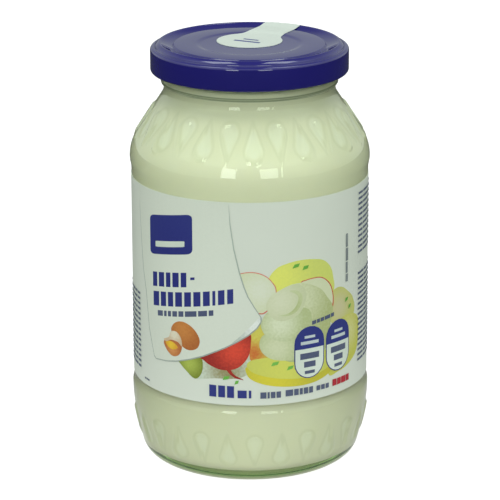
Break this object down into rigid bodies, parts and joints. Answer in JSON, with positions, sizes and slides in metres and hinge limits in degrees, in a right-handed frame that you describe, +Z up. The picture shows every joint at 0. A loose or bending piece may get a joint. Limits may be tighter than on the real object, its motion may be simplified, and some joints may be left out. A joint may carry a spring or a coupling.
{
  "type": "mayonnaise jar",
  "caption": "Filled clear glass jar of mayonnaise with a waisted label panel, raised drops in the glass, a painted twist-off lid, a wrap-round label and a paper seal.",
  "frame": {"origin": "middle of the standing ring, on the surface that the jar stands on", "axes": "+Z up along the jar's axis; the middle of the label's front faces -Y"},
  "size_m": [0.0808, 0.0808, 0.1437],
  "materials": {
    "jar_glass": "clear glass with a faint green tint",
    "mayonnaise": "pale cream, soft and wet",
    "lid_paint": "navy blue lacquer, high gloss",
    "label_paper": "white coated paper with printed shapes",
    "seal_paper": "white matt paper"
  },
  "bodies": {
    "root": {"glass_jar": "jar_glass", "mayonnaise": "mayonnaise", "lid": "lid_paint", "label": "label_paper", "seal_sticker": "seal_paper"}
  },
  "joints": []
}
